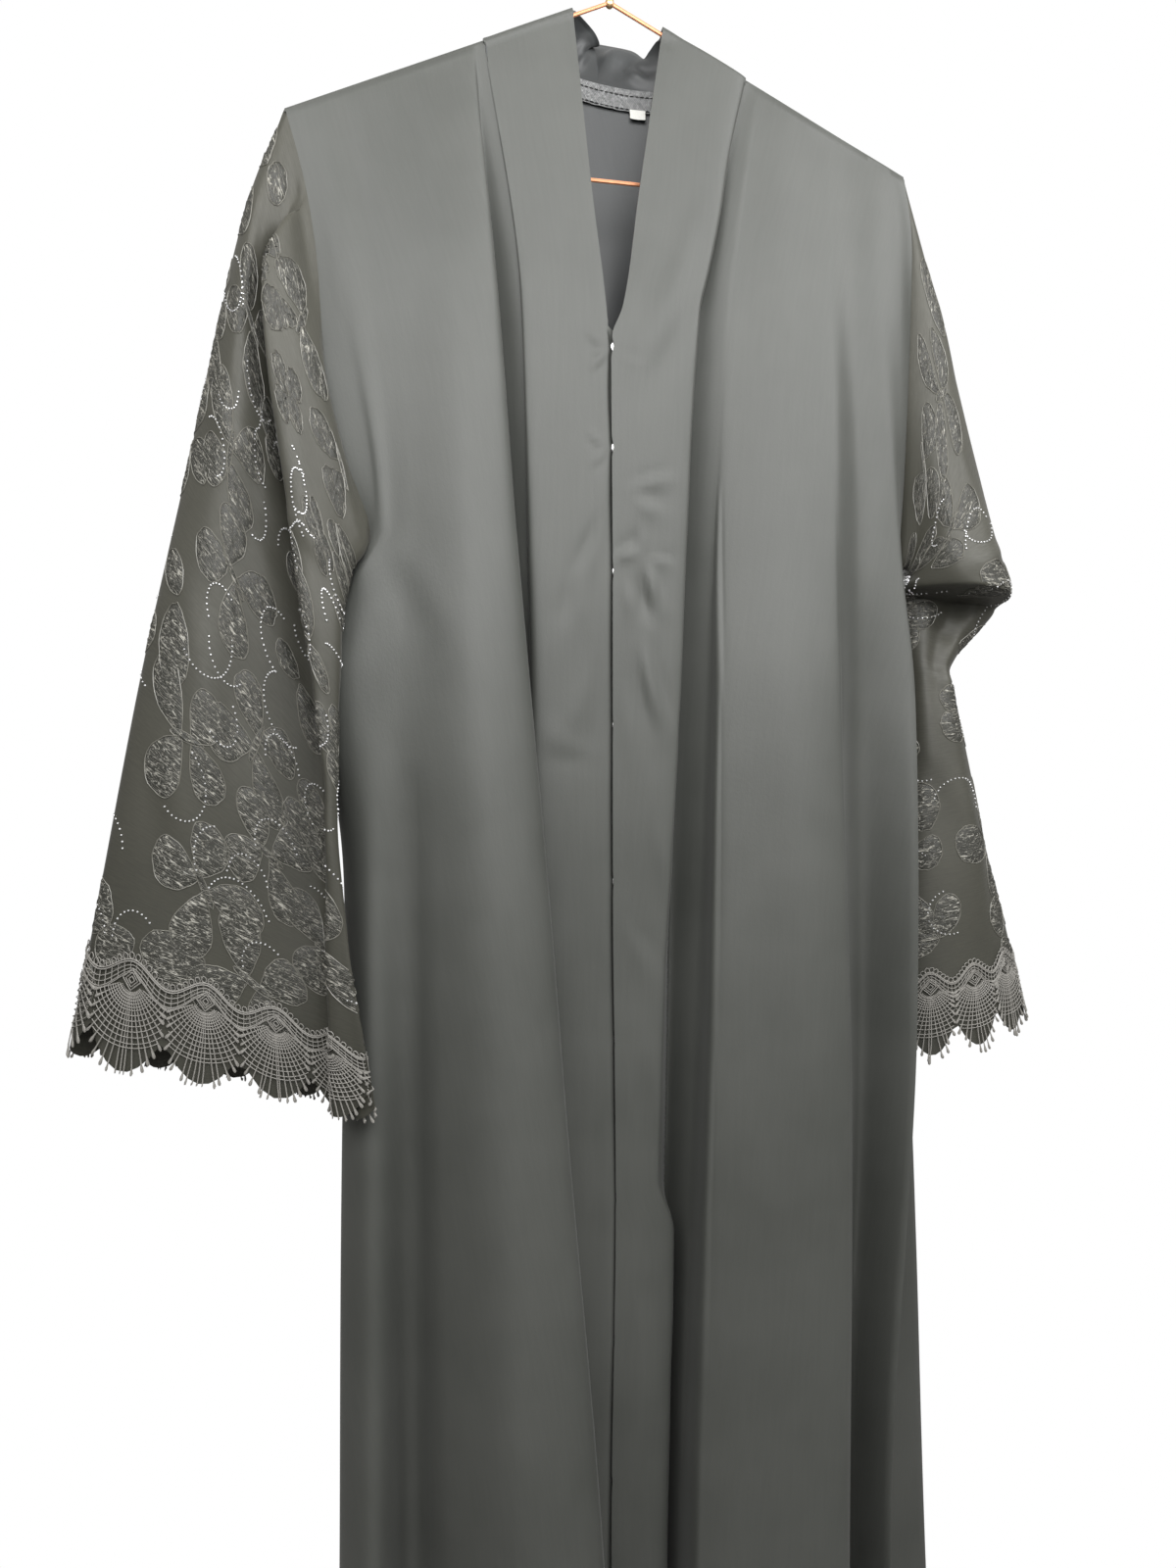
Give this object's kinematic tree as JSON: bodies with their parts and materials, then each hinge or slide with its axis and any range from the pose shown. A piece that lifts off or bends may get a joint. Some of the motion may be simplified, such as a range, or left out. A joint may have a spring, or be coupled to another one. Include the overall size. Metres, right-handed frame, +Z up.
{
  "type": "abaya cloak on a wire hanger",
  "caption": "Long open-front abaya cloak with wide front bands, jacquard sleeves edged with scalloped lace, and hidden snaps, on a triangular wire hanger.",
  "frame": {"origin": "inside top of the hanger's hook, where it rests on a rail", "axes": "+Z up; the front of the garment faces -Y; +X is on the right of someone who looks at the front"},
  "size_m": [0.6741, 0.1836, 1.5127],
  "materials": {
    "black_satin": "black satin-faced crepe with a soft wide sheen",
    "jacquard": "black crinkled jacquard with raised glossy motifs",
    "lace_thread": "grey-black guipure lace thread",
    "neck_tape": "dark grey woven tape",
    "white_label": "blank white woven label",
    "copper_wire": "copper-coloured polished steel wire",
    "snap_metal": "small nickel press fasteners",
    "rhinestone": "tiny clear faceted stones",
    "sewing_thread": "black sewing thread"
  },
  "bodies": {
    "root": {"hanger_hook": "copper_wire", "hanger_arm_left": "copper_wire", "hanger_arm_right": "copper_wire", "hanger_bar": "copper_wire", "back": "black_satin", "front_left": "black_satin", "front_right": "black_satin", "band_left": "black_satin", "band_right": "black_satin", "sleeve_left": "jacquard", "sleeve_right": "jacquard", "lace_left_front": "lace_thread", "lace_left_back": "lace_thread", "lace_right_front": "lace_thread", "lace_right_back": "lace_thread", "neck_tape": "neck_tape", "label": "white_label", "snap_1": "snap_metal", "snap_2": "snap_metal", "snap_3": "snap_metal", "snap_4": "snap_metal", "snap_5": "snap_metal", "snap_6": "snap_metal", "snap_7": "snap_metal", "snap_8": "snap_metal", "snap_9": "snap_metal"}
  },
  "joints": []
}
